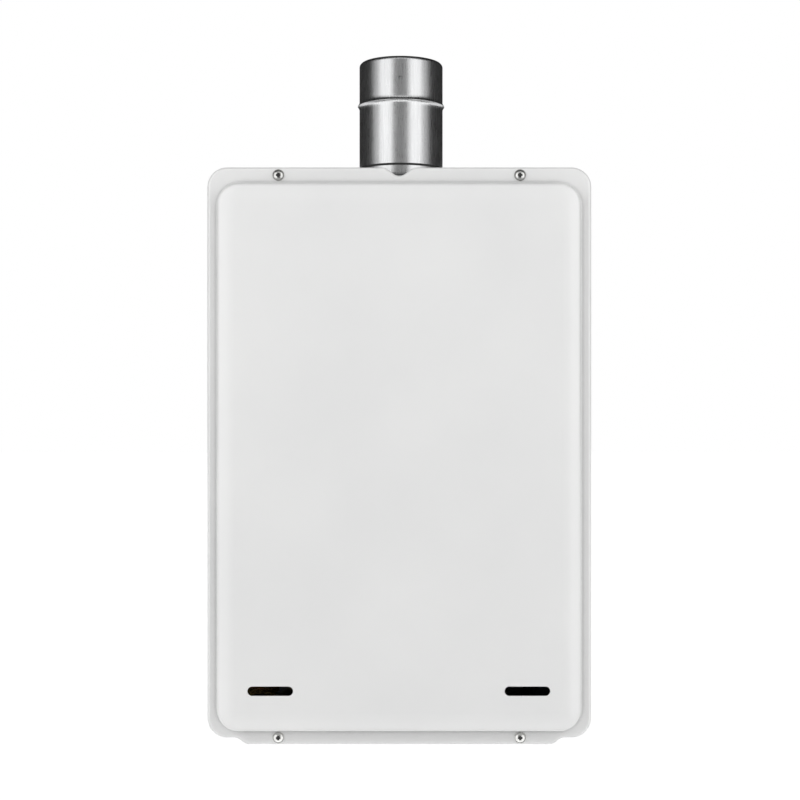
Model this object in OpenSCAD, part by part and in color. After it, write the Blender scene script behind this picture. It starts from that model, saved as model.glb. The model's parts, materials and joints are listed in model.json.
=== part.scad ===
// Wall-hung instantaneous gas water heater, an assembly of named sub-parts.
// Millimetres. +Z is up, +X is right seen from the front, the front faces -Y and the wall is Y = 0.
// The origin is the centre of the four wall holes on the wall plane.

/* [Front cover] */
// Width of the cover over its rim
cover_w = 350; // [346:1:380]
// Height of the cover over its rim, without the lower tab
cover_h = 520; // [514:1:560]
// Thickness of the painted sheet
sheet = 1; // [0.8:0.1:1.2]
// Corner radius of the rim
rim_corner_r = 18; // [14:1:21]
// Outside radius where the rim turns back
rim_edge_r = 3; // [2.5:0.5:3.5]
// Depth of the rim's lip behind the flange face
rim_lip = 9; // [7:1:14]
// Flange seen at each side of the raised panel
flange_side = 11; // [10:0.5:12]
// Flange seen above the raised panel
flange_top = 16.5; // [16:0.5:19]
// Flange seen below the raised panel, without the lower tab
flange_bottom = 9.5; // [9.5:0.5:12]
// Corner radius of the raised panel
panel_corner_r = 19; // [17:1:26]
// Radius along the front edge of the raised panel
panel_edge_r = 4; // [3:0.5:4]
// Radius of the soft crown along the panel's border, which starts at the edge radius
crown_r = 48; // [30:1:48]
// Height of the raised panel over the flange
panel_rise = 18; // [17.5:0.5:24]
// Drop of the lower tab
tab_drop = 6; // [6:1.5:9]
// Half width of the lower tab, at half its drop
tab_half_w = 144; // [130:1:147]
// Depth of the notch in the top edge
notch_depth = 7.6; // [7:0.6:8.2]
// Length of an air slot
slot_len = 41; // [30:1:60]
// Height of an air slot
slot_h = 8.5; // [6:0.5:12]
// Distance of an air slot from the middle
slot_x = 115.5; // [90:0.5:120]
// Height of the air slots over the panel's lower edge
slot_up = 37; // [30:1:60]
// Distance of a cover screw from the middle
screw_x = 110; // [90:1:120]
// Diameter of a cover screw's head
screw_head_d = 10.5; // [8:0.5:11]

/* [Case] */
// Distance from the wall to the front face of the case flange
case_depth = 168; // [166:1:180]
// Corner radius of the case seen from the front
case_corner_r = 8; // [6:1:8]
// Outside radius of the case's back edges
case_edge_r = 5; // [4:1:5]
// Depth of the ribs pressed into the case's back
rib_depth = 3; // [2:0.5:4]
// Width of a rib
rib_w = 16; // [12:1:20]
// Outer ribs from the middle, sideways
rib_x = 100; // [96:1:106]
// Thickness of the gasket under the cover
gasket_t = 3; // [2:0.5:4]
// Thickness of the wall brackets
bracket_t = 2; // [1.5:0.5:3]
// Wall holes from the middle, sideways
wall_hole_x = 95; // [90:1:98]
// Wall holes beyond the cover's top edge
wall_hole_out = 12; // [10:1:16]
// Diameter of a wall hole
wall_hole_d = 8; // [6:0.5:9]

/* [Flue] */
// Outside diameter of the flue collar
flue_d = 80; // [76:1:86]
// Wall of the flue collar
flue_wall = 0.8; // [0.6:0.1:1.2]
// Length of the flue collar
flue_len = 101; // [90:1:130]
// Bead below the collar's rim
bead_down = 41.5; // [36:0.5:60]
// Radius of the rolled bead
bead_r = 2.4; // [2:0.1:3]
// Distance of the flue axis from the wall
flue_back = 92; // [90:1:96]

/* [Heat exchanger] */
// Width of the combustion chamber
core_w = 190; // [184:1:191]
// Depth of the combustion chamber
core_d = 110; // [108:1:112]
// Height of the heat exchanger
core_h = 170; // [166:1:174]
// Radius of an exchanger tube
tube_r = 8; // [7:0.1:8.2]
// Number of fins
fin_count = 36; // [12:1:40]
// Radius of the water pipes
pipe_r = 6.5; // [5.5:0.1:7]

/* [Burner and gas] */
// Number of burner bars
bar_count = 11; // [7:1:11]
// Width of a burner bar's head
bar_w = 10; // [8:0.5:12]
// Radius of the gas and water threads
thread_r = 10.4775; // [9.5:0.0005:11]
// Travel of the main gas plunger
main_travel = 3; // [1.5:0.5:3.5]
// Travel of the modulating plunger
mod_travel = 2.5; // [1:0.5:3]

/* [Fan] */
// Radius of the impeller
fan_r = 44; // [41:0.5:44.5]
// Number of impeller blades
blade_count = 32; // [16:1:36]
// Radius of the fan shaft
shaft_r = 3; // [2.5:0.1:3.5]

/* [Clearances] */
// Gap between two still pieces that pass through each other
gap = 0.1; // [0.05:0.05:0.2]
// Radial gap of a running shaft
run_gap = 0.06; // [0.04:0.01:0.1]
// Gap round a screw in its hole
screw_gap = 0.25; // [0.2:0.05:0.4]

/* [Hidden] */
$fn = 48;
// Length past any piece
far = 1000;

// Cover and case outlines
rim_top = cover_h / 2;
rim_low = -cover_h / 2;
case_top = rim_top - flange_top;
case_low = rim_low + flange_bottom;
panel_w = cover_w - 2 * flange_side;
in_x = panel_w / 2 - sheet;
root_r = 3;
rim_gap = 0.5;
gasket_in = 3.2;
gasket_out = 5.8;
edge_slope = 3 / 4;
edge_bend_r = 9;
notch_r = 8;
tab_run = tab_drop / edge_slope / 2;
notch_v = notch_depth + notch_r * (sqrt(1 + edge_slope * edge_slope) - 1);
notch_x = notch_v / edge_slope;
rim = [
  [-cover_w / 2, rim_low, rim_corner_r],
  [-tab_half_w - tab_run, rim_low, edge_bend_r],
  [-tab_half_w + tab_run, rim_low - tab_drop, edge_bend_r],
  [tab_half_w - tab_run, rim_low - tab_drop, edge_bend_r],
  [tab_half_w + tab_run, rim_low, edge_bend_r],
  [cover_w / 2, rim_low, rim_corner_r],
  [cover_w / 2, rim_top, rim_corner_r],
  [notch_x, rim_top, edge_bend_r],
  [0, rim_top - notch_v, notch_r],
  [-notch_x, rim_top, edge_bend_r],
  [-cover_w / 2, rim_top, rim_corner_r]
];
body = [
  [-panel_w / 2, case_low, panel_corner_r],
  [panel_w / 2, case_low, panel_corner_r],
  [panel_w / 2, case_top, panel_corner_r],
  [-panel_w / 2, case_top, panel_corner_r]
];
shell = [for (p = body) [p[0], p[1], case_corner_r]];
// The crown leaves the panel's plane by an angle whose sine and cosine are these
crown_sin = 0.28;
crown_cos = 0.96;
crown_w = crown_sin * crown_r + (1 - crown_sin) * panel_edge_r;
cover_face = case_depth + gasket_t + sheet;
panel_face = cover_face + panel_rise;
cover_screw_r = 2;
screw_spots = [
  [-screw_x, rim_top - 7.5],
  [screw_x, rim_top - 7.5],
  [-screw_x, rim_low - tab_drop + 6.8],
  [screw_x, rim_low - tab_drop + 6.8]
];
wall_hole_z = rim_top + wall_hole_out;
// Ribs end a little way from the wall brackets
rib_len = 2 * (wall_hole_z - 82);

// Flue levels
flue_y = -flue_back;
flue_r = flue_d / 2;
neck_top = rim_top + 8.2;
seal_t = 2;
collar_low = neck_top + seal_t;
collar_top = collar_low + flue_len;
flue_gasket_t = 1.5;
flue_flange_r = flue_r + 16;
flue_screw_r = flue_r + 9;
neck_r = flue_r - flue_wall - 1.3;

// Levels of the heat exchanger and the burner
core_top = case_top - 55;
core_low = core_top - core_h;
box_top = core_low - 2;
box_low = box_top - 100;
core_front = flue_y - core_d / 2;
core_back = flue_y + core_d / 2;
wall = 1.2;
pipe_bend = 15;
core_lip = 8;
core_screw_x = 70;
small_screw_r = 1.9;
core_corner_r = pipe_bend - pipe_r - gap;
core = [
  [-core_w / 2, core_front, core_corner_r],
  [core_w / 2, core_front, core_corner_r],
  [core_w / 2, core_back, core_corner_r],
  [-core_w / 2, core_back, core_corner_r]
];
tube_z = core_top - 32;
tube_pitch = 17.5;
tube_out = core_w / 2 + 6;
fin_low = core_top - 64;
fin_h = 60;
fin_t = 0.5;
coil_x = core_w / 2 + pipe_r + gap;
coil_front = core_front - pipe_r - gap;
coil_back = core_back + pipe_r + gap;
coil_low = core_low + 60;
coil_high = core_low + 96;
bar_top = box_top - 30;
plate_top = box_low + 22 + wall;
bar_pitch = (core_w - 30) / (bar_count - 1);
jet_z = box_low + 36;
spark_z = box_top - 20;
spark_spots = [-40, -22, 24];
glass_x = 60;
manifold_y = core_front - 15;

// Places of the water, gas and fan groups
side_x = in_x - 28;
// Bend of the pipes beside the core, as far as the room there lets it
riser_bend = min(pipe_bend, (side_x - coil_x) / 2 - 0.5, side_x - tube_out - 9.5);
water_y = -75;
plug_y = water_y - 37;
gas_x = 66;
gas_y = -80;
gas_face = gas_y - 24;
main_z = case_low + 92;
mod_z = case_low + 54;
spindle_z = case_low + 95;
tray_l = in_x - 41;
tray_r = in_x - 3;
tray_low = core_top - 150;
tray_high = core_top + 40;
tray_back = -case_depth + 16;
wire_y = tray_back - 9.5;
tray_wires = [in_x - 33, in_x - 22, in_x - 12];
gland_x = 20;
gland_y = -45;
main_r = 5;
mod_r = 4;
fan_x = -48;
fan_half = 23;
scroll_r = fan_r + 8;
scroll_step = 7;
scroll_wall = 1.5;
duct_l = 18;
duct_r = scroll_step / 2 + scroll_r + 2 * scroll_step;
duct_up = scroll_r + 36;
fan_z = box_low - duct_up;

// Unit vector of v
function unit(v) = v / norm(v);
// Vector to the left of v
function left(v) = [-v[1], v[0]];
// Point of corner i of an outline, whose corners are [x, y, radius] anticlockwise
function at(c, i) = let(p = c[(i + len(c)) % len(c)]) [p[0], p[1]];
function way_in(c, i) = unit(at(c, i) - at(c, i - 1));
function way_out(c, i) = unit(at(c, i + 1) - at(c, i));
function turn(c, i) = let(u = way_in(c, i), v = way_out(c, i)) atan2(cross(u, v), u * v);
function reach(c, i) = c[i][2] * tan(abs(turn(c, i)) / 2);
function arc_from(c, i) = at(c, i) - way_in(c, i) * reach(c, i);
function arc_to(c, i) = at(c, i) + way_out(c, i) * reach(c, i);
function arc_mid(c, i) = arc_from(c, i) + left(way_in(c, i)) * c[i][2] * sign(turn(c, i));
// The outline moved inward by d
function inset(c, d) = [
  for (i = [0 : len(c) - 1])
    let(m = left(way_in(c, i)), n = left(way_out(c, i)), p = at(c, i) + (m + n) * d / (1 + m * n))
      [p[0], p[1], c[i][2] - d * sign(turn(c, i))]
];

// Pie slice of the arc at corner i
module slice(c, i) {
  m = arc_mid(c, i);
  intersection() {
    translate(m) circle(c[i][2]);
    polygon([m, m + 2 * (arc_from(c, i) - m), m + 3 * (at(c, i) - m), m + 2 * (arc_to(c, i) - m)]);
  }
}

// Area inside an outline
module area(c) {
  n = len(c) - 1;
  difference() {
    union() {
      polygon([for (i = [0 : n]) for (p = [arc_from(c, i), arc_to(c, i)]) p]);
      for (i = [0 : n]) if (turn(c, i) > 0) slice(c, i);
    }
    for (i = [0 : n]) if (turn(c, i) < 0) slice(c, i);
  }
}

// Local axes a, b, c at point p
module axes(p, a, b, c) {
  multmatrix([
    [a[0], b[0], c[0], p[0]],
    [a[1], b[1], c[1], p[1]],
    [a[2], b[2], c[2], p[2]],
    [0, 0, 0, 1]
  ]) children();
}

// Carries a profile round an outline: x runs outward from it, y toward the front
module sweep(c) {
  for (i = [0 : len(c) - 1]) {
    j = (i + 1) % len(c);
    p = arc_from(c, j);
    v = way_out(c, i);
    axes([p[0], p[1], 0], [v[1], -v[0], 0], [0, 0, 1], [-v[0], -v[1], 0])
      linear_extrude(norm(p - arc_to(c, i))) children();
    m = arc_mid(c, i);
    a = arc_from(c, i) - m;
    b = arc_to(c, i) - m;
    translate(m) intersection() {
      rotate(atan2(-a[1], -a[0])) rotate_extrude()
        translate([c[i][2], 0]) mirror([turn(c, i) > 0 ? 0 : 1, 0]) children();
      linear_extrude(far, center = true) polygon([[0, 0], 9 * a, 9 * (a + b), 9 * b]);
    }
  }
}

// Quarter of a ring, in the quadrant of the signs sx and sy
module quarter(r, t, sx, sy) {
  intersection() {
    difference() {
      circle(r);
      circle(r - t);
    }
    translate([sx > 0 ? 0 : -2 * r, sy > 0 ? 0 : -2 * r]) square(2 * r);
  }
}

// Dot inside a sheet's profile, where two of its stretches meet, so that they join
module knot(x, y) translate([x, y]) circle(sheet / 4);

// Sheet profile from a flange up over a rounded edge
module step_profile(rise, edge) {
  translate([-edge, rise - edge]) quarter(edge, sheet, 1, 1);
  step_foot(rise - edge);
}

// Sheet profile from a flange up to a level
module step_foot(rise) {
  translate([-sheet, root_r]) square([sheet, rise - root_r]);
  translate([root_r, root_r]) quarter(root_r + sheet, sheet, -1, -1);
  for (y = [root_r, rise]) knot(-sheet / 2, y);
}

// Sheet profile from a flange up over a tight edge and a soft crown
module crown_profile(rise, edge, crown) {
  low = rise - crown_cos * edge - (1 - crown_cos) * crown;
  way = [crown_sin, crown_cos];
  step_foot(low);
  translate([-edge, low]) {
    intersection() {
      quarter(edge, sheet, 1, 1);
      polygon([[0, 0], [2 * edge, 0], [2 * edge, 2 * edge], 2 * edge * way]);
    }
    knot((edge - sheet / 2) * crown_sin, (edge - sheet / 2) * crown_cos);
    translate((edge - crown) * way) intersection() {
      quarter(crown, sheet, 1, 1);
      polygon([[0, 0], 2 * crown * way, [0, 2 * crown]]);
    }
  }
}

module rim_profile() {
  translate([-rim_edge_r, -rim_edge_r]) quarter(rim_edge_r, sheet, 1, 1);
  translate([-sheet, -rim_lip]) square([sheet, rim_lip - rim_edge_r]);
  knot(-sheet / 2, -rim_edge_r);
}

// Turns a drawing in X and Z so that its height runs to the front
module to_front() rotate([90, 0, 0]) children();

// Flat plate of a drawing from depth a to depth b
module slab(a, b) translate([0, 0, a]) linear_extrude(b - a) children();

// Box between two corners
module block(a, b) translate(a) cube(b - a);

// Rods of length l: to the front from y, to the right from x and up from z
module rod_y(x, y, z, l, r) translate([x, y, z]) rotate([90, 0, 0]) cylinder(h = l, r = r);
module rod_x(x, y, z, l, r) translate([x, y, z]) rotate([0, 90, 0]) cylinder(h = l, r = r);
module rod_z(x, y, z, l, r) translate([x, y, z]) cylinder(h = l, r = r);
module hex_z(x, y, z, l, flats) translate([x, y, z]) cylinder(h = l, d = flats / cos(30), $fn = 6);

// Round pipe through points, with square turns of one bend radius or of one for each turn.
// A thinner core runs a little way into each bend, so that runs and bends join as one solid.
module pipe(p, r, bend) {
  n = len(p) - 1;
  turns = is_list(bend) ? [0, each bend, 0] : [0, for (i = [2 : n]) bend, 0];
  for (i = [0 : n - 1]) {
    d = unit(p[i + 1] - p[i]);
    a = p[i] + d * turns[i];
    l = norm(p[i + 1] - p[i]) - turns[i] - turns[i + 1];
    low = (i == 0 ? r : -r) / 2;
    high = l + (i == n - 1 ? -r : r) / 2;
    e = abs(d[2]) > 0.5 ? [1, 0, 0] : [0, 0, 1];
    axes(a, e, cross(d, e), d) {
      cylinder(h = l, r = r);
      translate([0, 0, low]) cylinder(h = high - low, r = r / 2);
    }
  }
  for (i = [1 : n - 1]) {
    u = unit(p[i] - p[i - 1]);
    v = unit(p[i + 1] - p[i]);
    axes(p[i] - u * turns[i] + v * turns[i], -v, u, cross(-v, u))
      rotate_extrude(angle = 90) translate([turns[i], 0]) circle(r);
  }
}

// Upright ring from level a to level b
module ring(a, b, outer, inner) translate([0, 0, a]) linear_extrude(b - a) difference() {
  circle(outer);
  circle(inner);
}

// Outline of the core seen from above, grown by o
module core_area(o) area(inset(core, -o));

// Sheet frame of the core's size from level a to level b
module core_frame(a, b, outer, inner) translate([0, 0, a]) linear_extrude(b - a) difference() {
  core_area(outer);
  core_area(inner);
}

// Places of the screws that hold the core's flanges together
module core_screw_places() for (x = [-core_screw_x, 0, core_screw_x])
  for (y = [core_front - core_lip / 2, core_back + core_lip / 2]) translate([x, y, 0]) children();

// Places of the flue base's screws
module flue_screw_places() translate([0, flue_y, 0])
  for (a = [45 : 90 : 315]) rotate(a) translate([flue_screw_r, 0, 0]) children();

module front_cover() {
  color([0.93, 0.93, 0.92]) to_front() difference() {
    union() {
      slab(panel_face - sheet, panel_face) area(inset(body, crown_w));
      slab(panel_face - sheet * 2 / 3, panel_face - sheet / 3) area(inset(body, crown_w - 1));
      translate([0, 0, cover_face]) sweep(body) crown_profile(panel_rise, panel_edge_r, crown_r);
      slab(cover_face - sheet, cover_face) difference() {
        area(inset(rim, rim_edge_r));
        area(inset(body, -root_r));
      }
      slab(cover_face - sheet * 2 / 3, cover_face - sheet / 3) difference() {
        area(inset(rim, rim_edge_r - 0.5));
        area(inset(body, 0.5 - root_r));
      }
      translate([0, 0, cover_face]) sweep(rim) rim_profile();
    }
    for (x = [-slot_x, slot_x]) translate([x, case_low + slot_up, 0])
      slab(panel_face - sheet - 1, panel_face + 1) stadium(slot_len, slot_h);
    for (p = screw_spots) translate([p[0], p[1], cover_face - sheet - 1])
      cylinder(h = sheet + 2, r = cover_screw_r + screw_gap);
  }
}

module stadium(l, h) {
  square([l - h, h], center = true);
  for (x = [-1, 1]) translate([x * (l - h) / 2, 0]) circle(h / 2);
}

// Places of the stiffening ribs pressed into the case's back
module rib_places() for (x = [-rib_x, 0, rib_x]) translate([x, 0, 0]) rotate(90) children();

// A thin middle layer of each sheet runs a little way into its bends, so that they join as one solid
module rear_case() {
  color([0.9, 0.9, 0.89]) difference() {
    to_front() difference() {
      union() {
        slab(bracket_t, bracket_t + sheet) area(inset(shell, case_edge_r));
        slab(bracket_t + sheet / 3, bracket_t + sheet * 2 / 3) area(inset(shell, case_edge_r - 1));
        rib_places() slab(bracket_t, bracket_t + sheet + rib_depth) stadium(rib_len, rib_w);
        translate([0, 0, case_depth - sheet]) sweep(shell)
          mirror([0, 1]) step_profile(case_depth - sheet - bracket_t, case_edge_r);
        slab(case_depth - sheet, case_depth) difference() {
          area(inset(rim, sheet + rim_gap));
          area(inset(shell, -root_r));
        }
        slab(case_depth - sheet * 2 / 3, case_depth - sheet / 3) difference() {
          area(inset(rim, sheet + rim_gap + 1));
          area(inset(shell, 0.5 - root_r));
        }
      }
      rib_places() slab(bracket_t - 1, bracket_t + rib_depth) stadium(rib_len - 2 * sheet, rib_w - 2 * sheet);
      for (p = screw_spots) translate([p[0], p[1], case_depth - sheet - 1])
        cylinder(h = sheet + 2, r = cover_screw_r + screw_gap);
    }
    rod_z(0, flue_y, case_top - sheet - 1, sheet + 2, flue_r - 1);
    flue_screw_places() rod_z(0, 0, case_top - sheet - 1, sheet + 2, cover_screw_r + screw_gap);
    for (p = [[side_x, water_y], [-side_x, water_y], [gas_x, gas_y]])
      rod_z(p[0], p[1], case_low - 1, sheet + 2, 18);
    for (x = [-side_x, side_x]) rod_z(x, plug_y, case_low - 1, sheet + 2, 13.5);
    rod_z(gland_x, gland_y, case_low - 1, sheet + 2, 8 + gap);
  }
}

module cover_screws() {
  cap_r = ((screw_head_d / 2) ^ 2 + 4) / 4;
  color([0.72, 0.72, 0.72]) to_front() for (p = screw_spots) translate([p[0], p[1], cover_face]) {
    difference() {
      union() {
        cylinder(h = 0.6, d = screw_head_d);
        translate([0, 0, 0.6]) intersection() {
          translate([0, 0, 2 - cap_r]) sphere(cap_r);
          cylinder(h = 3, d = screw_head_d + 2);
        }
      }
      for (a = [0, 90]) rotate(a) translate([-2.4, -0.6, 1.1]) cube([4.8, 1.2, 3]);
    }
    translate([0, 0, -12]) cylinder(h = 12, r = cover_screw_r);
  }
}

module cover_gasket() {
  color([0.2, 0.2, 0.2]) to_front() slab(case_depth, case_depth + gasket_t) difference() {
    area(inset(shell, -gasket_out));
    area(inset(shell, -gasket_in));
  }
}

module cover_nuts() {
  color([0.6, 0.6, 0.58]) to_front() for (p = screw_spots) translate([p[0], p[1], 0])
    ring(case_depth - sheet - 4, case_depth - sheet, 4.2, cover_screw_r + screw_gap);
}

// Wall plate between two heights, with two wall holes at height h
module wall_plate(low, high, h) {
  half = wall_hole_x + 30;
  to_front() slab(0, bracket_t) difference() {
    area([[-half, low, 8], [half, low, 8], [half, high, 8], [-half, high, 8]]);
    for (x = [-wall_hole_x, wall_hole_x]) translate([x, h]) circle(wall_hole_d / 2);
  }
}

module upper_bracket() {
  color([0.62, 0.63, 0.64]) {
    wall_plate(wall_hole_z - 70, wall_hole_z + 12, wall_hole_z);
    block([-wall_hole_x, -bracket_t - 8, wall_hole_z + 10], [wall_hole_x, -bracket_t, wall_hole_z + 12]);
  }
}

module lower_bracket() {
  color([0.62, 0.63, 0.64]) {
    wall_plate(-wall_hole_z - 12, -wall_hole_z + 60, -wall_hole_z);
    block([-wall_hole_x, -bracket_t - 8, -wall_hole_z - 12], [wall_hole_x, -bracket_t, -wall_hole_z - 10]);
  }
}

module flue_collar() {
  bead_z = collar_top - bead_down;
  color([0.75, 0.76, 0.77]) difference() {
    translate([0, flue_y, 0]) rotate_extrude() difference() {
      union() {
        translate([flue_r - flue_wall, collar_low]) square([flue_wall, flue_len]);
        translate([flue_r - flue_wall, bead_z]) intersection() {
          circle(bead_r);
          translate([0, -bead_r]) square([2 * bead_r, 2 * bead_r]);
        }
      }
      translate([flue_r - flue_wall, bead_z]) circle(bead_r - flue_wall);
    }
    rod_y(0, flue_y, collar_top - 20, flue_d, 1.7);
  }
}

module flue_seal() {
  color([0.1, 0.1, 0.1]) translate([0, flue_y, 0])
    ring(neck_top, collar_low, flue_r + 0.3, flue_r - flue_wall + gap);
}

module flue_base() {
  low = case_top + flue_gasket_t;
  color([0.7, 0.71, 0.72]) difference() {
    translate([0, flue_y, 0]) {
      ring(low, low + 1.5, flue_flange_r, neck_r);
      ring(low + 1.5, neck_top, flue_r, neck_r);
      ring(neck_top, neck_top + 16, flue_r - flue_wall - gap, neck_r);
    }
    flue_screw_places() rod_z(0, 0, low - 1, 4, cover_screw_r + screw_gap);
  }
}

module flue_gasket() {
  color([0.75, 0.74, 0.7]) difference() {
    translate([0, flue_y, 0]) ring(case_top, case_top + flue_gasket_t, flue_flange_r - 1, flue_r);
    flue_screw_places() rod_z(0, 0, case_top - 1, flue_gasket_t + 2, cover_screw_r + screw_gap);
  }
}

module flue_screws() {
  color([0.72, 0.72, 0.72]) flue_screw_places() {
    rod_z(0, 0, case_top + flue_gasket_t + 1.5, 2.6, 4);
    rod_z(0, 0, case_top - 6, 7.5 + flue_gasket_t, cover_screw_r);
  }
}

// Square-to-round hood body, drawn in by t
module hood_form(t) {
  hull() {
    translate([0, 0, core_top + 2.7]) linear_extrude(0.1) core_area(-t);
    rod_z(0, flue_y, case_top - 16, 0.1, flue_r - 4 - t);
  }
}

module exhaust_hood() {
  color([0.66, 0.67, 0.68]) {
    difference() {
      core_frame(core_top + 1.5, core_top + 2.7, core_lip, -wall);
      core_screw_places() rod_z(0, 0, core_top, 4, small_screw_r + screw_gap);
    }
    difference() {
      hood_form(0);
      hood_form(wall);
      rod_z(0, flue_y, case_top - 20, 10, flue_r - 4 - wall);
      translate([0, 0, core_top]) linear_extrude(2.75) core_area(-wall);
    }
    translate([0, flue_y, 0]) ring(case_top - 15.9, case_top + 20, flue_r - 4, flue_r - 4 - wall);
  }
}

module core_gaskets() {
  color([0.78, 0.76, 0.7]) difference() {
    union() {
      core_frame(core_top, core_top + 1.5, core_lip - 0.5, 0);
      core_frame(box_top, core_low, core_lip - 0.5, 0);
    }
    core_screw_places() rod_z(0, 0, box_top - 1, core_top - box_top + 4, small_screw_r + screw_gap);
  }
}

// Depth of exchanger tube i
function tube_y(i) = flue_y + (i - 2.5) * tube_pitch;

module exchanger_shell() {
  color([0.72, 0.43, 0.28]) difference() {
    union() {
      core_frame(core_low, core_top, 0, -wall);
      core_frame(core_low, core_low + wall, core_lip, 0);
      core_frame(core_top - wall, core_top, core_lip, 0);
    }
    for (i = [0 : 5]) rod_x(-core_w, tube_y(i), tube_z, 2 * core_w, tube_r + gap);
    core_screw_places() {
      rod_z(0, 0, core_low - 1, 4, small_screw_r + screw_gap);
      rod_z(0, 0, core_top - 3, 4, small_screw_r + screw_gap);
    }
  }
}

module exchanger_fins() {
  span = core_w - 2 * core_corner_r - 4;
  color([0.78, 0.47, 0.3]) for (k = [0 : fin_count - 1])
    translate([k * span / (fin_count - 1) - span / 2 - fin_t / 2, 0, 0]) rotate([90, 0, 90])
      linear_extrude(fin_t) difference() {
        translate([core_front + wall + gap, fin_low]) square([core_d - 2 * wall - 2 * gap, fin_h]);
        for (i = [0 : 5]) translate([tube_y(i), tube_z]) circle(tube_r + gap);
      }
}

module exchanger_tubes() {
  color([0.74, 0.44, 0.28]) {
    for (i = [0 : 5]) {
      ends = i == 0 || i == 5 ? 9 : 0;
      rod_x(-tube_out - ends, tube_y(i), tube_z, 2 * tube_out + ends, tube_r);
    }
    for (i = [0, 2, 4]) translate([tube_out, tube_y(i + 0.5), tube_z]) rotate(-90) return_bend();
    for (i = [1, 3]) translate([-tube_out, tube_y(i + 0.5), tube_z]) rotate(90) return_bend();
  }
}

module return_bend() rotate_extrude(angle = 180) translate([tube_pitch / 2, 0]) circle(tube_r);

module chamber_coil() {
  color([0.76, 0.46, 0.3]) {
    pipe([
      [coil_x, water_y, coil_low - 18],
      [coil_x, water_y, coil_low],
      [coil_x, coil_front, coil_low],
      [-coil_x, coil_front, coil_low],
      [-coil_x, coil_back, coil_low],
      [coil_x, coil_back, coil_low],
      [coil_x, coil_back, coil_high],
      [coil_x, coil_front, coil_high],
      [-coil_x, coil_front, coil_high],
      [-coil_x, tube_y(5), coil_high],
      [-side_x, tube_y(5), coil_high],
      [-side_x, tube_y(5), tube_z],
      [-tube_out - 9, tube_y(5), tube_z]
    ], pipe_r, concat([for (i = [1 : 8]) pipe_bend], [for (i = [1 : 3]) riser_bend]));
    rod_x(-tube_out - 17, tube_y(5), tube_z, 8, 10);
  }
}

module burner_box() {
  color([0.6, 0.61, 0.62]) difference() {
    union() {
      core_frame(box_low, box_top, 0, -wall);
      core_frame(box_top - wall, box_top, core_lip, 0);
      translate([0, 0, box_low]) linear_extrude(wall) core_area(-wall);
    }
    block([-80, core_front - 1, box_top - 44], [80, core_front + wall + 1, box_top - 6]);
    for (k = [0 : bar_count - 1]) rod_y(bar_x(k), core_front + wall + 1, jet_z, wall + 2, 5);
    block(
      [fan_x + duct_l, flue_y - fan_half, box_low - 1],
      [fan_x + duct_r, flue_y + fan_half, box_low + wall + 1]
    );
    core_screw_places() rod_z(0, 0, box_top - 3, 4, small_screw_r + screw_gap);
  }
}

// Place of burner bar k across the box
function bar_x(k) = -(core_w - 30) / 2 + k * bar_pitch;

module air_plate() {
  half = core_w / 2 - wall - gap;
  leg = core_d / 2 - core_corner_r - 4;
  color([0.64, 0.65, 0.66]) difference() {
    union() {
      slab(plate_top - wall, plate_top) core_area(-wall - gap);
      for (x = [-half, half - wall])
        block([x, flue_y - leg, box_low + wall], [x + wall, flue_y + leg, plate_top - wall]);
    }
    for (k = [0 : bar_count - 2]) for (j = [-2 : 2])
      rod_z(bar_x(k) + bar_pitch / 2, flue_y + j * 18, plate_top - wall - 1, wall + 2, 2.2);
  }
}

module burner_bars() {
  back = core_back - 8;
  length = core_d - 16;
  color([0.7, 0.7, 0.69]) for (k = [0 : bar_count - 1]) translate([bar_x(k), 0, 0]) difference() {
    union() {
      block([-3.5, back - length, plate_top], [3.5, back, bar_top - 12]);
      block([-bar_w / 2, back - length, bar_top - 12], [bar_w / 2, back, bar_top - 2]);
      block([-bar_w / 2 + 2, back - length, bar_top - 2], [bar_w / 2 - 2, back, bar_top]);
      rod_y(0, back - length + 4, jet_z, 7, 5.5);
    }
    rod_y(0, back - length + 10, jet_z, 15, 3.2);
    for (j = [-4 : 4]) block(
      [-bar_w, flue_y + j * 10 - 0.6, bar_top - 6],
      [bar_w, flue_y + j * 10 + 0.6, bar_top + 1]
    );
  }
}

module burner_front() {
  color([0.66, 0.67, 0.68]) difference() {
    block([-88, core_front - wall, box_top - 50], [88, core_front, box_top - 2]);
    for (x = spark_spots) rod_y(x, core_front + 1, spark_z, wall + 2, 3.5 + gap);
    rod_y(glass_x, core_front + 1, spark_z, wall + 2, 7);
    for (x = [-84, 84]) rod_y(x, core_front + 1, spark_z, wall + 2, 1.8);
  }
}

module sight_glass() {
  color([0.85, 0.8, 0.65]) rod_y(glass_x, core_front - wall, spark_z, 1, 10);
}

// Small screw with its head on level z and its shank going down
module small_screw(z, shank) {
  rod_z(0, 0, z, 2.4, 3.5);
  rod_z(0, 0, z - shank, shank, small_screw_r);
}

module inner_screws() {
  color([0.7, 0.7, 0.68]) {
    core_screw_places() {
      small_screw(core_top + 2.7, 8.7);
      small_screw(core_low + wall, 9);
    }
    at_fan() motor_screw_places() small_screw(fan_half + scroll_wall + 2, 6);
  }
}

module core_brackets() {
  low = box_low + 30;
  high = box_low + 72;
  inner = -bracket_t - sheet;
  color([0.62, 0.63, 0.64]) for (x = [-60, 60]) {
    block([x - 12, inner - 1.5, low], [x + 12, inner, high]);
    block([x - 12, core_back + 1.5, low], [x - 10.5, inner - 1.5, high]);
    block([x - 12, core_back, low], [x + 12, core_back + 1.5, high]);
  }
}

module insulators() {
  color([0.93, 0.92, 0.88]) for (x = spark_spots) difference() {
    union() {
      rod_y(x, core_front + 9, spark_z, 22, 3.5);
      rod_y(x, core_front - wall, spark_z, 3, 6);
    }
    rod_y(x, core_front + 10, spark_z, 30, 1 + gap);
  }
}

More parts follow.
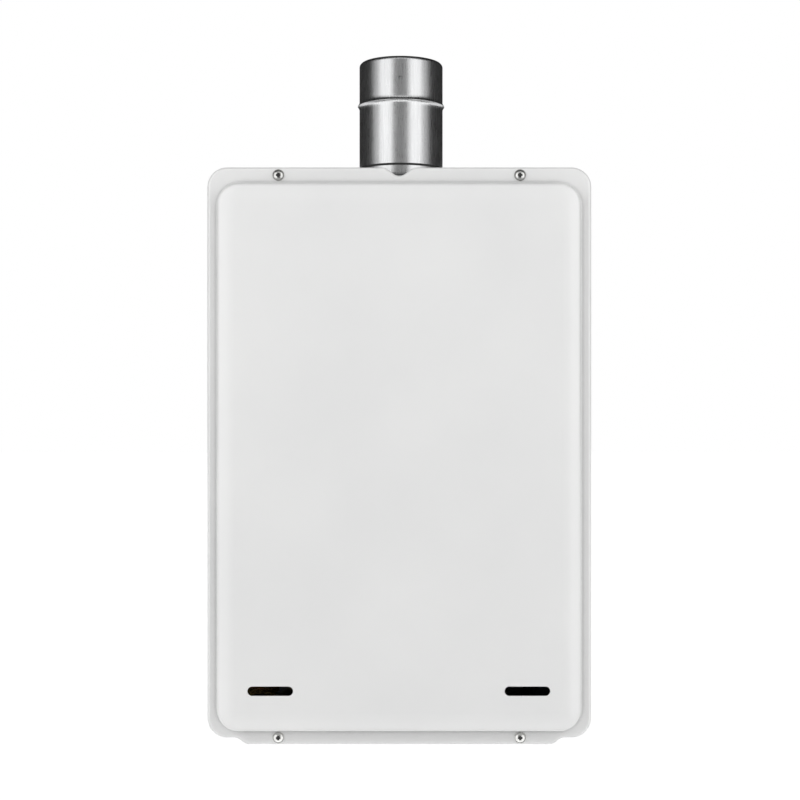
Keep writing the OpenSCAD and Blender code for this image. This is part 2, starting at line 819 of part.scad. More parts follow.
module electrodes() {
  color([0.55, 0.55, 0.55]) for (x = spark_spots)
    pipe([
      [x, core_front - 15, spark_z],
      [x, core_front + 26, spark_z],
      [x, core_front + 26, spark_z + 9]
    ], 1, 4);
}

module igniter() {
  color([0.13, 0.13, 0.14]) {
    block([-in_x, -115, spark_z - 34], [-in_x + 25, -65, spark_z + 12]);
    rod_x(-in_x + 25, -90, spark_z, 5, 5);
    for (z = [spark_z - 40, spark_z + 12]) block([-in_x, -100, z], [-in_x + 3, -80, z + 6]);
  }
}

module ignition_lead() {
  start = -in_x + 30;
  beside = -core_w / 2 - core_lip - 4;
  front = core_front - 22;
  color([0.55, 0.12, 0.1]) {
    pipe([
      [start, -90, spark_z],
      [beside, -90, spark_z],
      [beside, front, spark_z],
      [spark_spots[0], front, spark_z],
      [spark_spots[0], core_front - 15, spark_z]
    ], 2.2, 6);
  }
}

module gas_manifold() {
  half = core_w / 2 - 1;
  color([0.68, 0.69, 0.7]) {
    block([-half, manifold_y - 6, jet_z - 10], [half, manifold_y + 6, jet_z + 10]);
    block([-half, manifold_y - 9, jet_z - 2], [half, manifold_y - 6, jet_z + 2]);
    for (k = [0 : bar_count - 1]) rod_y(bar_x(k), manifold_y - 6, jet_z, 3, 5);
    for (x = [-half, half - 8]) block([x, manifold_y + 6, jet_z - 8], [x + 8, core_front, jet_z + 8]);
    rod_z(gas_x, manifold_y, jet_z - 14, 4, 13);
  }
}

module gas_injectors() {
  color([0.8, 0.65, 0.32]) for (k = [0 : bar_count - 1]) {
    translate([bar_x(k), manifold_y + 6, jet_z]) rotate([-90, 0, 0]) hex_z(0, 0, 0, 4, 8);
    rod_y(bar_x(k), core_front + 2, jet_z, core_front + 2 - manifold_y - 10, 2.6);
  }
}

module gas_riser() {
  color([0.7, 0.71, 0.72]) {
    pipe([
      [gas_x, gas_y - 8, case_low + 112],
      [gas_x, gas_y - 8, jet_z - 56],
      [gas_x, manifold_y, jet_z - 56],
      [gas_x, manifold_y, jet_z - 14]
    ], 9, 14);
    rod_z(gas_x, gas_y - 8, case_low + 112, 4, 14);
  }
}

// Cavity for a plunger of radius r and its head, behind the valve's front face
module plunger_way(z, r, travel) {
  rod_y(gas_x, gas_face + 6, z, 7, r + run_gap);
  rod_y(gas_x, gas_face + travel + 12.8, z, travel + 7.8, r + 4);
}

module gas_valve() {
  color([0.66, 0.67, 0.68]) difference() {
    union() {
      block([gas_x - 26, gas_face, case_low + 30], [gas_x + 26, gas_y + 24, case_low + 112]);
      rod_z(gas_x, gas_y, case_low + 13, 17, 18);
      block([gas_x - 20, gas_y + 24, case_low + 44], [gas_x + 20, gas_y + 30, case_low + 100]);
    }
    plunger_way(main_z, main_r, main_travel);
    plunger_way(mod_z, mod_r, mod_travel);
    rod_z(gas_x, gas_y, case_low + 12, 12, 9);
  }
}

module gas_fitting() color([0.78, 0.64, 0.33]) fitting(gas_x, gas_y, 13);

// Threaded stub through the case bottom, up to a level over it
module fitting(x, y, up) {
  difference() {
    union() {
      rod_z(x, y, case_low - 32, 20, thread_r);
      hex_z(x, y, case_low - 12, 9, 27);
      rod_z(x, y, case_low - 3, up - 1, 14);
      rod_z(x, y, case_low + up - 4, 4, 17.5);
    }
    rod_z(x, y, case_low - 33, up + 34, 7.5);
  }
}

// Solenoid can of radius r on the valve's front, with a blind way for a plunger
module coil(z, r, plunger) {
  difference() {
    union() {
      rod_y(gas_x, gas_face, z, 2, r + 1.5);
      rod_y(gas_x, gas_face - 2, z, 32, r);
      rod_y(gas_x, gas_face - 34, z, 2, r + 1.5);
      block([gas_x + r - 3, gas_face - 24, z - 6], [gas_x + r + 10, gas_face - 8, z + 6]);
    }
    rod_y(gas_x, gas_face + 1, z, 35.5, plunger + run_gap);
  }
}

module main_coil() color([0.16, 0.16, 0.18]) coil(main_z, 15, main_r);

module mod_coil() color([0.2, 0.2, 0.3]) coil(mod_z, 14, mod_r);

// Plunger with its valve head, drawn shut, with its travel free in front of it
module plunger(z, r, travel) {
  back = gas_face + travel + 9;
  rod_y(gas_x, back, z, 42, r);
  rod_y(gas_x, back + 3.5, z, 4, r + 3);
}

module main_plunger() color([0.7, 0.71, 0.72]) plunger(main_z, main_r, main_travel);

module mod_plunger() color([0.7, 0.71, 0.72]) plunger(mod_z, mod_r, mod_travel);

// Fan scroll in the plane of the wheel, grown by o
module scroll_shape(o, up) {
  h = scroll_step / 2;
  sector(-h, -h, scroll_r + o, -1, 1);
  sector(h, -h, scroll_r + scroll_step + o, -1, -1);
  sector(h, h, scroll_r + 2 * scroll_step + o, 1, -1);
  translate([-h, -h]) square([scroll_step, scroll_r + o]);
  translate([h, h]) square([duct_r - h + o, scroll_r - scroll_step + o]);
  translate([duct_l - o, h]) square([duct_r - duct_l + 2 * o, up - h]);
}

// Quarter disc about a point
module sector(x, y, r, sx, sy) translate([x, y]) intersection() {
  circle(r);
  translate([sx > 0 ? 0 : -2 * r, sy > 0 ? 0 : -2 * r]) square(2 * r);
}

// Fan axis, with the depth measured to the front
module at_fan() translate([fan_x, flue_y, fan_z]) to_front() children();

// Places of the fan motor's screws
module motor_screw_places() for (a = [90, 210, 330]) rotate(a) translate([31, 0, 0]) children();

module fan_scroll() {
  color([0.68, 0.69, 0.7]) {
    at_fan() difference() {
      slab(-fan_half, fan_half + scroll_wall) scroll_shape(scroll_wall, duct_up);
      slab(-fan_half - 1, fan_half) scroll_shape(0, duct_up + 1);
      slab(fan_half - 1, fan_half + 4) circle(14);
      motor_screw_places() rod_z(0, 0, fan_half - 1, 4, small_screw_r + screw_gap);
    }
    translate([0, 0, box_low - 2]) linear_extrude(2) difference() {
      duct_rim(scroll_wall + 7);
      duct_rim(scroll_wall);
    }
  }
}

// Outline of the fan's outlet seen from above, grown by o
module duct_rim(o) translate([fan_x + duct_l - o, flue_y - fan_half - o])
  square([duct_r - duct_l + 2 * o, 2 * fan_half + 2 * o]);

module fan_inlet() {
  color([0.68, 0.69, 0.7]) at_fan() {
    slab(-fan_half - scroll_wall, -fan_half) difference() {
      scroll_shape(scroll_wall, duct_up - 10);
      circle(fan_r - 11);
    }
    slab(-fan_half, -fan_half + 3.5) difference() {
      circle(fan_r - 9);
      circle(fan_r - 11);
    }
  }
}

// One forward-curved blade of the wheel
module blade(inner) {
  intersection() {
    translate([inner - 1, 10]) difference() {
      circle(10.5);
      circle(9.5);
    }
    translate([inner - 2, -1]) square([13, 9]);
  }
}

module fan_impeller() {
  inner = fan_r - 9;
  color([0.62, 0.63, 0.65]) at_fan() {
    slab(18, 19.5) difference() {
      circle(fan_r);
      circle(shaft_r + gap / 5);
    }
    slab(6, 18) difference() {
      circle(7);
      circle(shaft_r + gap / 5);
    }
    slab(-16, 18) intersection() {
      union() for (k = [0 : blade_count - 1]) rotate(k * 360 / blade_count) blade(inner);
      difference() {
        circle(fan_r);
        circle(inner);
      }
    }
    slab(-17.5, -16) difference() {
      circle(fan_r);
      circle(inner);
    }
  }
}

module fan_shaft() color([0.75, 0.76, 0.77]) at_fan() translate([0, 0, 4]) cylinder(h = 58, r = shaft_r);

module fan_motor() {
  foot = fan_half + scroll_wall;
  color([0.2, 0.2, 0.21]) at_fan() difference() {
    union() {
      slab(foot, foot + 2) circle(36);
      slab(foot + 2, foot + 34) circle(26);
      slab(foot + 34, foot + 39) circle(21);
      translate([-9, 22, foot + 8]) cube([18, 13, 16]);
    }
    for (a = [150 : 30 : 390]) rotate(a) translate([23, -2, foot + 7]) cube([5, 4, 20]);
    translate([0, 0, foot - 1]) cylinder(h = 39, r = shaft_r + run_gap);
    motor_screw_places() rod_z(0, 0, foot - 1, 4, small_screw_r + screw_gap);
  }
}

module cold_fitting() color([0.78, 0.64, 0.33]) fitting(side_x, water_y, 9);

module flow_sensor() {
  color([0.12, 0.12, 0.13]) difference() {
    union() {
      difference() {
        rod_z(side_x, water_y, case_low + 9, 60, 17);
        rod_z(side_x, water_y, case_low + 8, 62, 11);
      }
      for (z = [15, 53]) translate([side_x, water_y, case_low + z]) {
        cylinder(h = 3, r = 3.5);
        for (a = [0, 90]) rotate(a) translate([-11.5, -1.2, 0]) cube([23, 2.4, 3]);
      }
      rod_z(side_x, plug_y, case_low + 6, 40, 12);
      block([side_x - 7, plug_y + 10, case_low + 24], [side_x + 7, water_y - 14, case_low + 42]);
      block([side_x - 26, water_y - 8, case_low + 30], [side_x - 14, water_y + 8, case_low + 50]);
    }
    rod_z(side_x, water_y, case_low + 14, 44, 1.5 + run_gap);
    rod_z(side_x, plug_y, case_low + 5, 33, 8 + run_gap);
  }
}

module flow_turbine() {
  color([0.85, 0.85, 0.8]) translate([side_x, water_y, case_low]) {
    translate([0, 0, 15.2]) cylinder(h = 40.6, r = 1.5);
    translate([0, 0, 22]) cylinder(h = 27, r = 4);
    intersection() {
      translate([0, 0, 24]) cylinder(h = 23, r = 10.5);
      for (a = [0 : 60 : 300]) rotate(a) translate([2, 0, 35.5]) rotate([35, 0, 0])
        translate([0, -0.6, -14]) cube([10, 1.2, 28]);
    }
  }
}

module servo_valve() {
  color([0.14, 0.14, 0.15]) difference() {
    block([side_x - 18, water_y - 18, case_low + 69], [side_x + 18, water_y + 18, case_low + 121]);
    rod_z(side_x, water_y, case_low + 68, 54, 7);
    rod_y(side_x, water_y + 13, spindle_z, 32, 8 + run_gap);
  }
}

module servo_spindle() {
  color([0.86, 0.85, 0.8]) difference() {
    union() {
      rod_y(side_x, water_y + 12, spindle_z, 29, 8);
      rod_y(side_x, water_y - 17, spindle_z, 15, 3);
    }
    rod_z(side_x, water_y, spindle_z - 10, 20, 6);
  }
}

module servo_motor() {
  color([0.2, 0.2, 0.22]) difference() {
    union() {
      block([side_x - 17, water_y - 40, spindle_z - 18], [side_x + 17, water_y - 18, spindle_z + 18]);
      rod_y(side_x, water_y - 40, spindle_z, 8, 10);
    }
    rod_y(side_x, water_y - 17, spindle_z, 16, 3 + run_gap);
  }
}

module cold_pipe() {
  color([0.76, 0.46, 0.3]) {
    pipe([
      [side_x, water_y, case_low + 121],
      [side_x, water_y, coil_low - 36],
      [coil_x, water_y, coil_low - 36],
      [coil_x, water_y, coil_low - 18]
    ], pipe_r, riser_bend);
    rod_z(side_x, water_y, case_low + 121, 5, 13);
  }
}

module hot_pipe() {
  color([0.76, 0.46, 0.3]) {
    pipe([
      [-tube_out - 9, tube_y(0), tube_z],
      [-side_x, tube_y(0), tube_z],
      [-side_x, tube_y(0), case_low + 46],
      [-side_x, water_y, case_low + 46],
      [-side_x, water_y, case_low + 22]
    ], pipe_r, riser_bend);
    rod_x(-tube_out - 17, tube_y(0), tube_z, 8, 10);
    rod_z(-side_x, water_y, case_low + 22, 5, 13);
  }
}

module hot_fitting() {
  color([0.78, 0.64, 0.33]) difference() {
    union() {
      fitting(-side_x, water_y, 22);
      block([-side_x - 7, plug_y + 10, case_low + 7], [-side_x + 7, water_y - 13, case_low + 19]);
      rod_z(-side_x, plug_y, case_low + 6, 16, 12);
    }
    rod_z(-side_x, plug_y, case_low + 5, 14, 8 + run_gap);
  }
}

// Hand plug under the case, whose stem ends at a level over the case bottom
module plug(x, up) {
  difference() {
    rod_z(x, plug_y, case_low - 17, 13, 11);
    for (a = [0 : 36 : 324]) translate([x, plug_y, case_low - 18]) rotate(a) rod_z(11.8, 0, 0, 10, 1.8);
  }
  rod_z(x, plug_y, case_low - 4, up + 4, 8);
}

module filter_plug() color([0.1, 0.1, 0.11]) plug(side_x, 36);

module drain_plug() color([0.1, 0.1, 0.11]) plug(-side_x, 17);

module sensors() {
  color([0.3, 0.3, 0.32]) {
    rod_y(-50, core_front, tube_z + 8, 3, 11);
    rod_y(-50, core_front - 3, tube_z + 8, 6, 8);
    difference() {
      union() {
        rod_z(-side_x, tube_y(0), 20, 14, 10);
        rod_y(-side_x, tube_y(0) - 8, 27, 8, 4);
      }
      rod_z(-side_x, tube_y(0), 19, 16, pipe_r + gap);
    }
  }
}

module control_tray() {
  color([0.12, 0.13, 0.13]) {
    difference() {
      block([tray_l, tray_back - 14, tray_low], [tray_r, tray_back, tray_high]);
      block([tray_l + 2, tray_back - 15, tray_low + 2], [tray_r - 2, tray_back - 3, tray_high - 2]);
      for (x = tray_wires) rod_z(x, wire_y, tray_low - 1, 4, 3);
    }
    for (z = [tray_low + 20, tray_high - 32])
      block([tray_r, tray_back - 10, z], [in_x, tray_back - 2, z + 12]);
    for (x = [tray_l + 5, tray_r - 5]) for (z = [tray_low + 5, tray_high - 5])
      rod_y(x, tray_back - 3, z, 2, 2.5);
  }
}

module circuit_board() {
  face = tray_back - 6.6;
  color([0.1, 0.36, 0.2]) {
    block([tray_l + 2.5, face, tray_low + 2.5], [tray_r - 2.5, face + 1.6, tray_high - 2.5]);
    for (z = [tray_low + 14 : 26 : tray_high - 24])
      block([tray_l + 6, face - 9, z], [tray_l + 15, face, z + 14]);
    for (z = [tray_low + 34 : 44 : tray_high - 20]) rod_y(tray_r - 11, face, z, 12, 6);
    for (x = tray_wires) block([x - 3.5, face - 7, tray_low + 6], [x + 3.5, face, tray_low + 11]);
  }
}

module wiring() {
  start = tray_low + 6;
  color([0.85, 0.85, 0.83]) {
    pipe([
      [tray_wires[2], wire_y, start],
      [tray_wires[2], wire_y, spindle_z],
      [tray_wires[2], water_y - 40, spindle_z]
    ], 2.2, 8);
    pipe([
      [tray_wires[1], wire_y, start],
      [tray_wires[1], wire_y, main_z],
      [gas_x + 21, wire_y, main_z],
      [gas_x + 21, gas_face - 24, main_z]
    ], 2.2, 8);
    pipe([
      [tray_wires[0], wire_y, start],
      [tray_wires[0], wire_y, main_z + 38],
      [fan_x, wire_y, main_z + 38],
      [fan_x, flue_y - 41, main_z + 38],
      [fan_x, flue_y - 41, fan_z + 35]
    ], 2.2, 8);
  }
}

module bottom_seals() {
  color([0.08, 0.08, 0.08]) {
    for (p = [[side_x, water_y], [-side_x, water_y], [gas_x, gas_y]]) translate([p[0], p[1], 0]) {
      ring(case_low - 2, case_low, 20.5, 14 + gap);
      ring(case_low, case_low + sheet, 18 - gap, 14 + gap);
      ring(case_low + sheet, case_low + sheet + 2, 20.5, 14 + gap);
    }
  }
}

module cable_gland() {
  color([0.08, 0.08, 0.08]) translate([gland_x, gland_y, 0]) {
    ring(case_low - 14, case_low - 8, 7, 4);
    difference() {
      hex_z(0, 0, case_low - 8, 8, 20);
      rod_z(0, 0, case_low - 9, 10, 4);
    }
    ring(case_low, case_low + sheet, 8, 4);
    ring(case_low + sheet, case_low + sheet + 5, 10, 4);
  }
}

front_cover();
cover_screws();
cover_gasket();
rear_case();
cover_nuts();
upper_bracket();
lower_bracket();
flue_collar();
flue_seal();
flue_base();
flue_gasket();
flue_screws();
exhaust_hood();
core_gaskets();
exchanger_shell();
exchanger_fins();
exchanger_tubes();
chamber_coil();
burner_box();
air_plate();
burner_bars();
burner_front();
sight_glass();
inner_screws();
core_brackets();
insulators();
electrodes();
igniter();
ignition_lead();
gas_manifold();
gas_injectors();
gas_riser();
gas_valve();
gas_fitting();
main_coil();
main_plunger();
mod_coil();
mod_plunger();
fan_scroll();
fan_inlet();
fan_impeller();
fan_shaft();
fan_motor();
cold_fitting();
flow_sensor();
flow_turbine();
servo_valve();
servo_spindle();
servo_motor();
cold_pipe();
hot_pipe();
hot_fitting();
filter_plug();
drain_plug();
sensors();
control_tray();
circuit_board();
wiring();
bottom_seals();
cable_gland();
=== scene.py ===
"""Looks of a wall-hung gas water heater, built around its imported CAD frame.

+Z is up and +X is right, seen from the front, which faces -Y. The wall is Y = 0.
"""

import json
import math

import bmesh
import bpy
from mathutils import Matrix, Vector


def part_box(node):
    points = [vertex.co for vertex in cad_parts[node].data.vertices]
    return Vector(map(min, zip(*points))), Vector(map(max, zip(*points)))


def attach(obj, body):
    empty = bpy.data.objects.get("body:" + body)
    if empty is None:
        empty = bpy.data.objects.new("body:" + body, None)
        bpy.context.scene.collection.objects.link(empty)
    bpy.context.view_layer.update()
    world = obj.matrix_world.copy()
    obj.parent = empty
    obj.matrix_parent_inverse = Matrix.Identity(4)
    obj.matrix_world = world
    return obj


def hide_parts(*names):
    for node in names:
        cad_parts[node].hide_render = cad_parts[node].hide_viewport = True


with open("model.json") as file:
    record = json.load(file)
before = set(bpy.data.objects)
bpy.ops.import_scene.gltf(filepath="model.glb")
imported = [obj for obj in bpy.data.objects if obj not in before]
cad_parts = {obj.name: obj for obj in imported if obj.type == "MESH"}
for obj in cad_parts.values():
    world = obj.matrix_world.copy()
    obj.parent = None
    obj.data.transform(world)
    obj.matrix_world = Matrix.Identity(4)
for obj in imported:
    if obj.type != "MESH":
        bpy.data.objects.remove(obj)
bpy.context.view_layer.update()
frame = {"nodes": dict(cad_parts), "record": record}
MM = 0.001
TURN = 2 * math.pi
QUARTER = math.pi / 2
nodes = frame["nodes"]


# Materials

AO_SAMPLES = 6
# Shares of open space about a point at which the painted corner shade is darkest and at which it
# ends
HOLLOW, OPEN = 0.70, 0.78


class Surface:
    """A Principled material whose colour, roughness and bump come from object-space textures."""

    def __init__(self, name, stretch=(1, 1, 1)):
        self.material = bpy.data.materials.new(name)
        self.material.use_nodes = True
        self.tree = self.material.node_tree
        self.shader = self.tree.nodes["Principled BSDF"]
        self.plain = self.node("ShaderNodeTexCoord").outputs["Object"]
        mapping = self.node("ShaderNodeMapping")
        mapping.inputs["Scale"].default_value = stretch
        self.join(self.plain, mapping.inputs["Vector"])
        self.place = mapping.outputs["Vector"]

    def node(self, kind, **values):
        made = self.tree.nodes.new(kind)
        for key, value in values.items():
            setattr(made, key, value)
        return made

    def join(self, out, into):
        self.tree.links.new(out, into)

    def set(self, **values):
        """Sets the shader's inputs by name, with _ for a space."""
        for key, value in values.items():
            self.shader.inputs[key.replace("_", " ")].default_value = value
        return self

    def noise(self, scale, detail=3.0, rough=0.5):
        """Cloudy noise; the scale is in features per metre."""
        made = self.node("ShaderNodeTexNoise")
        made.inputs["Scale"].default_value = scale
        made.inputs["Detail"].default_value = detail
        made.inputs["Roughness"].default_value = rough
        self.join(self.place, made.inputs["Vector"])
        return made.outputs["Fac"]

    def cells(self, scale):
        """A random colour per cell; the scale is in cells per metre."""
        made = self.node("ShaderNodeTexVoronoi")
        made.inputs["Scale"].default_value = scale
        self.join(self.place, made.inputs["Vector"])
        return made.outputs["Color"]

    def spread(self, value, low, high, start=0.3, end=0.7):
        """Maps the value's range from start to end onto low to high."""
        made = self.node("ShaderNodeMapRange")
        made.inputs["From Min"].default_value = start
        made.inputs["From Max"].default_value = end
        made.inputs["To Min"].default_value = low
        made.inputs["To Max"].default_value = high
        self.join(value, made.inputs["Value"])
        return made.outputs["Result"]

    def ramp(self, value, *stops):
        made = self.node("ShaderNodeValToRGB")
        marks = made.color_ramp.elements
        while len(marks) < len(stops):
            marks.new(0.5)
        for mark, (place, colour) in zip(marks, stops):
            mark.position = place
            mark.color = (*colour, 1)
        self.join(value, made.inputs["Fac"])
        return made.outputs["Color"]

    def corners(self, colour, reach, dark):
        """Painted shade: the colour, darker in each hollow corner of the piece within this reach
        in metres.
        """
        made = self.node("ShaderNodeAmbientOcclusion", samples=AO_SAMPLES, only_local=True)
        made.inputs["Distance"].default_value = reach
        share = self.spread(made.outputs["AO"], dark, 1.0, HOLLOW, OPEN)
        blend = self.node("ShaderNodeVectorMath", operation="MULTIPLY")
        self.join(colour, blend.inputs[0])
        self.join(share, blend.inputs[1])
        return blend.outputs["Vector"]

    def colour(self, out):
        self.join(out, self.shader.inputs["Base Color"])

    def roughness(self, value, low, high):
        self.join(self.spread(value, low, high), self.shader.inputs["Roughness"])

    def bump(self, *layers):
        """Each layer is a height and its depth in metres."""
        last = None
        for height, depth in layers:
            made = self.node("ShaderNodeBump")
            made.inputs["Distance"].default_value = depth
            self.join(height, made.inputs["Height"])
            if last is not None:
                self.join(last, made.inputs["Normal"])
            last = made.outputs["Normal"]
        self.join(last, self.shader.inputs["Normal"])


def enamel():
    s = Surface("white_enamel")
    cloud = s.noise(9, 2)
    white = s.ramp(cloud, (0.3, (0.785, 0.787, 0.785)), (0.7, (0.815, 0.816, 0.812)))
    # Painted shade: the white darkens in each hollow corner, such as at the step round the raised
    # panel
    s.colour(s.corners(white, reach=0.008, dark=0.5))
    s.roughness(s.noise(70), 0.30, 0.40)
    s.bump((s.noise(420, 2), 0.000012), (s.noise(1900, 1), 0.000004))
    return s.set(Coat_Weight=0.75, Coat_Roughness=0.16).material


def metal(name, dark, light, rough, stretch=(1, 1, 1), patch=40, fine=900, depth=0.00002):
    s = Surface(name, stretch)
    s.colour(s.ramp(s.noise(patch, 5), (0.3, dark), (0.7, light)))
    s.roughness(s.noise(fine, 4), *rough)
    s.bump((s.noise(fine, 3), depth))
    return s.set(Metallic=1.0).material


def galvanised():
    s = Surface("zinc_sheet")
    tone = s.node("ShaderNodeSeparateColor")
    s.join(s.cells(85), tone.inputs["Color"])
    s.colour(s.ramp(tone.outputs["Red"], (0.0, (0.46, 0.475, 0.49)), (1.0, (0.62, 0.63, 0.64))))
    s.roughness(tone.outputs["Green"], 0.30, 0.46)
    s.bump((s.noise(600), 0.000012))
    return s.set(Metallic=1.0).material


def copper():
    s = Surface("bare_copper")
    patches = s.noise(26, 6, 0.62)
    s.colour(s.ramp(
        patches,
        (0.28, (0.36, 0.17, 0.10)), (0.5, (0.66, 0.33, 0.20)), (0.72, (0.80, 0.45, 0.30)),
    ))
    s.roughness(patches, 0.46, 0.24)
    s.bump((s.noise(700), 0.00001))
    return s.set(Metallic=1.0).material


def burner():
    s = Surface("heat_tinted_steel")
    s.colour(s.ramp(
        s.noise(34, 5, 0.6),
        (0.25, (0.34, 0.30, 0.33)), (0.45, (0.58, 0.49, 0.36)), (0.7, (0.62, 0.61, 0.59)),
    ))
    s.roughness(s.noise(240), 0.30, 0.48)
    s.bump((s.noise(900), 0.000012))
    return s.set(Metallic=1.0).material


def moulded(name, dark, light, rough, grain=1500, depth=0.00002, **values):
    s = Surface(name)
    s.colour(s.ramp(s.noise(45, 4), (0.3, dark), (0.7, light)))
    s.roughness(s.noise(320), *rough)
    s.bump((s.noise(grain, 2), depth))
    return s.set(**values).material


def fibre():
    s = Surface("pressed_fibre")
    strands = s.noise(420, 8, 0.7)
    s.colour(s.ramp(strands, (0.3, (0.43, 0.41, 0.35)), (0.7, (0.62, 0.60, 0.54))))
    s.roughness(strands, 0.8, 0.95)
    s.bump((strands, 0.00012))
    return s.material


def board():
    s = Surface("circuit_board_green")
    tracks = s.node("ShaderNodeTexBrick", offset=0.37, squash=0.6)
    tracks.inputs["Scale"].default_value = 230
    tracks.inputs["Mortar Size"].default_value = 0.035
    tracks.inputs["Color1"].default_value = (0.012, 0.085, 0.032, 1)
    tracks.inputs["Color2"].default_value = (0.016, 0.105, 0.040, 1)
    tracks.inputs["Mortar"].default_value = (0.045, 0.20, 0.085, 1)
    swap = s.node("ShaderNodeMapping")
    swap.inputs["Rotation"].default_value = (math.radians(90), 0, 0)
    s.join(s.plain, swap.inputs["Vector"])
    s.join(swap.outputs["Vector"], tracks.inputs["Vector"])
    s.colour(tracks.outputs["Color"])
    s.roughness(s.noise(200), 0.28, 0.4)
    s.bump((tracks.outputs["Fac"], 0.00003))
    return s.material


def mica():
    s = Surface("mica")
    s.colour(s.ramp(s.noise(120, 5), (0.3, (0.60, 0.50, 0.30)), (0.7, (0.78, 0.71, 0.52))))
    s.roughness(s.noise(300), 0.08, 0.2)
    s.bump((s.noise(500), 0.00002))
    return s.set(Transmission_Weight=0.55, IOR=1.58).material


LOOKS = {
    "white_paint": enamel(),
    "screw_steel": metal(
        "plated_steel", (0.56, 0.56, 0.55), (0.72, 0.72, 0.70), (0.16, 0.28), patch=300),
    "stainless": metal(
        "drawn_stainless", (0.61, 0.615, 0.62), (0.70, 0.705, 0.71), (0.25, 0.33),
        stretch=(1, 1, 0.04), patch=380, fine=1500, depth=0.000005),
    "black_rubber": moulded(
        "black_rubber", (0.014, 0.014, 0.014), (0.028, 0.028, 0.028), (0.6, 0.78),
        grain=700, depth=0.00004),
    "fibre": fibre(),
    "zinc_steel": galvanised(),
    "burner_steel": burner(),
    "copper": copper(),
    "brass": metal(
        "turned_brass", (0.62, 0.43, 0.16), (0.80, 0.60, 0.28), (0.2, 0.34),
        stretch=(1, 1, 6), patch=160, fine=800),
    "cast_alloy": metal(
        "cast_alloy", (0.47, 0.48, 0.49), (0.60, 0.61, 0.62), (0.42, 0.58),
        fine=1300, depth=0.00006),
    "black_plastic": moulded(
        "black_plastic", (0.016, 0.016, 0.018), (0.030, 0.030, 0.033), (0.36, 0.5)),
    "ceramic": moulded(
        "glazed_ceramic", (0.74, 0.72, 0.64), (0.84, 0.83, 0.77), (0.14, 0.24),
        grain=300, Coat_Weight=0.6),
    "mica": mica(),
    "red_lead": moulded(
        "red_silicone", (0.30, 0.022, 0.016), (0.42, 0.035, 0.026), (0.5, 0.65), grain=900),
    "ivory_plastic": moulded(
        "ivory_plastic", (0.66, 0.63, 0.53), (0.74, 0.72, 0.63), (0.34, 0.46)),
    "board_green": board(),
    "wire_grey": moulded(
        "wire_sleeve", (0.55, 0.55, 0.53), (0.66, 0.66, 0.63), (0.4, 0.55), grain=900),
}

SLOT = {row["node"]: row["material_slot"] for row in frame["record"]["subparts"]}
for name, piece in nodes.items():
    piece.data.materials.clear()
    piece.data.materials.append(LOOKS[SLOT[name]])


# Pieces that stand for CAD nodes; their lengths are in millimetres

SAME_POINT = 1e-4


def mesh_from(name, bm, smooth_below):
    """A mesh with smooth faces, sharp where they meet at more than the angle in degrees."""
    bmesh.ops.remove_doubles(bm, verts=bm.verts, dist=SAME_POINT * MM)
    bmesh.ops.recalc_face_normals(bm, faces=bm.faces)
    for face in bm.faces:
        face.smooth = True
    limit = math.radians(smooth_below)
    for edge in bm.edges:
        edge.smooth = len(edge.link_faces) == 2 and edge.calc_face_angle(0) < limit
    mesh = bpy.data.meshes.new(name)
    bm.to_mesh(mesh)
    bm.free()
    return mesh


def place_piece(name, bm, body, slot, replaced, look=None, smooth_below=40):
    """Links the shape as a piece that rides on a body and replaces a CAD node."""
    mesh = mesh_from(name, bm, smooth_below)
    made = bpy.data.objects.new(name, mesh)
    bpy.context.scene.collection.objects.link(made)
    mesh.materials.append(LOOKS[look or slot])
    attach(made, body)
    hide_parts(replaced)


def box_of(node):
    """Low corner, high corner, and the middle in X and Y, of a CAD node."""
    low, high = (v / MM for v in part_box(node))
    return low, high, (low.x + high.x) / 2, (low.y + high.y) / 2


def rings_into(bm, rings, closed=True):
    """Faces between neighbouring rings of points and, if closed, from the last to the first."""
    loops = [[bm.verts.new(p) for p in ring] for ring in rings]
    after = loops[1:] + loops[:1] if closed else loops[1:]
    for a, b in zip(loops, after):
        for i in range(len(a)):
            j = (i + 1) % len(a)
            bm.faces.new((a[i], a[j], b[j], b[i]))


def level_ring(x, y, z, radius, count):
    """A ring of points about Z; radius is a number or a function of the angle."""
    points = []
    for i in range(count):
        a = TURN * i / count
        r = radius(a) if callable(radius) else radius
        points.append(Vector((x + r * math.cos(a), y + r * math.sin(a), z)) * MM)
    return points


def arc(r, z, radius, first, last, steps):
    """Points of an outline, on an arc about (r, z) between two angles."""
    angles = [first + (last - first) * k / steps for k in range(steps + 1)]
    return [(r + radius * math.cos(a), z + radius * math.sin(a)) for a in angles]


THREAD_R = 10.4775
THREAD_PITCH = 1.814
THREAD_DEPTH = 1.16
THREAD_LEN = 20
THREAD_STEPS = 110
RUN_IN = 1.6
RUN_OUT = 1.2
HEX_LEN = 9
HEX_FLAT = 13.5
HEX_STEPS = 12
HEX_RIM = 0.5
HEX_SLOPE = 1.9
NECK_R = 14
FLANGE_R = 17.5
FLANGE_LEN = 4
BORE_R = 7.5
BORE_CHAMFER = 0.8
BORE_CHAMFER_LEN = 1
STUB_POINTS = 96
STUB_SMOOTH = 50


def thread(z):
    """Radius by angle of a rounded pipe thread, at this height above its start."""
    def radius(a):
        turn = (z / THREAD_PITCH - a / TURN) % 1
        depth = THREAD_DEPTH * (0.5 - 0.5 * math.cos(TURN * turn))
        run = min(1.0, z / RUN_IN) * min(1.0, (THREAD_LEN - z) / RUN_OUT)
        return THREAD_R - THREAD_DEPTH + (THREAD_DEPTH - depth) * run
    return radius


def hexagon(z):
    """Radius by angle of a hexagon with chamfered ends, at this height above its start."""
    chamfer = HEX_FLAT + HEX_RIM + HEX_SLOPE * min(z, HEX_LEN - z)

    def radius(a):
        flat = HEX_FLAT / math.cos((a + TURN / 12) % (TURN / 6) - TURN / 12)
        return min(flat, chamfer)
    return radius


